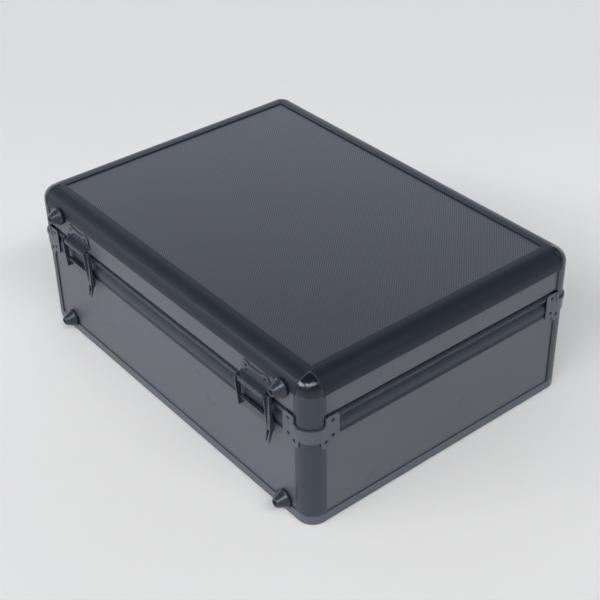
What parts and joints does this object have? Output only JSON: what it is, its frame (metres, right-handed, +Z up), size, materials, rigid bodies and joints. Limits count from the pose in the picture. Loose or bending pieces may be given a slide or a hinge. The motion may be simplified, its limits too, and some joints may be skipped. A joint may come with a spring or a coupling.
{
  "type": "attache case",
  "caption": "Hard attache case: boards in dark metal extrusions, ball corners, hinged lid with side-arm hinges and cone feet behind, handle and draw latches in front.",
  "frame": {"origin": "middle of the underside, at the height that the case stands on", "axes": "+X along the length, to the right as seen from the handle; +Y towards the hinges; +Z up"},
  "size_m": [0.4542, 0.3587, 0.1662],
  "materials": {
    "wall_board": "satin laminate on a fibre board",
    "top_board": "laminate with a fine raised pattern, on a fibre board",
    "extrusion": "satin dark anodised",
    "top_rail": "satin black anodised",
    "bracket": "satin",
    "ball_corner": "gloss",
    "foot": "semi gloss",
    "hinge_steel": "gloss black",
    "latch_steel": "satin black",
    "handle_grip": "moulded",
    "lining": "thin pressed foam with a felt face"
  },
  "bodies": {
    "base": {"bottom_frame": "extrusion", "floor_panel": "wall_board", "base_wall_front": "wall_board", "base_wall_back": "wall_board", "base_wall_left": "wall_board", "base_wall_right": "wall_board", "base_pillar_back_right": "extrusion", "base_pillar_back_left": "extrusion", "base_pillar_front_left": "extrusion", "base_pillar_front_right": "extrusion", "base_valance_front": "extrusion", "base_valance_back": "extrusion", "base_valance_left": "extrusion", "base_valance_right": "extrusion", "corner_bracket_back_right": "bracket", "corner_bracket_back_left": "bracket", "corner_bracket_front_left": "bracket", "corner_bracket_front_right": "bracket", "base_lining": "lining", "rear_foot_lower_left": "foot", "rear_foot_lower_right": "foot", "hinge_lower_leaf_left": "hinge_steel", "hinge_lower_leaf_right": "hinge_steel", "hinge_pin_left": "hinge_steel", "hinge_pin_right": "hinge_steel", "handle_bracket_left": "latch_steel", "handle_bracket_right": "latch_steel", "latch_base_left": "latch_steel", "latch_base_right": "latch_steel"},
    "lid": {"lid_top_panel": "top_board", "top_rail_front": "top_rail", "top_rail_back": "top_rail", "top_rail_left": "top_rail", "top_rail_right": "top_rail", "ball_corner_back_right": "ball_corner", "ball_corner_back_left": "ball_corner", "ball_corner_front_left": "ball_corner", "ball_corner_front_right": "ball_corner", "lid_pillar_back_right": "extrusion", "lid_pillar_back_left": "extrusion", "lid_pillar_front_left": "extrusion", "lid_pillar_front_right": "extrusion", "lid_valance_front": "wall_board", "lid_valance_back": "wall_board", "lid_valance_left": "wall_board", "lid_valance_right": "wall_board", "lid_lining": "lining", "rear_foot_upper_left": "foot", "rear_foot_upper_right": "foot", "hinge_upper_leaf_left": "hinge_steel", "hinge_upper_leaf_right": "hinge_steel", "latch_catch_left": "latch_steel", "latch_catch_right": "latch_steel"},
    "handle": {"handle": "handle_grip"},
    "latch_lever_left": {"latch_lever_left": "latch_steel"},
    "latch_hook_left": {"latch_hook_left": "latch_steel"},
    "latch_lever_right": {"latch_lever_right": "latch_steel"},
    "latch_hook_right": {"latch_hook_right": "latch_steel"}
  },
  "joints": [
    {"name": "lid_hinge", "type": "hinge", "parent": "base", "child": "lid", "pos_m": [0, 0.172, 0.1265], "axis": [-1, 0, 0], "range_deg": [0, 95]},
    {"name": "handle_pivot", "type": "hinge", "parent": "base", "child": "handle", "pos_m": [0, -0.1737, 0.081], "axis": [-1, 0, 0], "range_deg": [0, 120]},
    {"name": "lever_pivot_left", "type": "hinge", "parent": "base", "child": "latch_lever_left", "pos_m": [-0.15, -0.1723, 0.1038], "axis": [-1, 0, 0], "range_deg": [0, 110]},
    {"name": "hook_pivot_left", "type": "hinge", "parent": "latch_lever_left", "child": "latch_hook_left", "pos_m": [-0.15, -0.1723, 0.0938], "axis": [-1, 0, 0], "range_deg": [-110, 0]},
    {"name": "lever_pivot_right", "type": "hinge", "parent": "base", "child": "latch_lever_right", "pos_m": [0.15, -0.1723, 0.1038], "axis": [-1, 0, 0], "range_deg": [0, 110]},
    {"name": "hook_pivot_right", "type": "hinge", "parent": "latch_lever_right", "child": "latch_hook_right", "pos_m": [0.15, -0.1723, 0.0938], "axis": [-1, 0, 0], "range_deg": [-110, 0]}
  ],
  "couplings": [
    {"joint": "hook_pivot_left", "follows": "lever_pivot_left", "ratio": -1},
    {"joint": "hook_pivot_right", "follows": "lever_pivot_right", "ratio": -1}
  ]
}
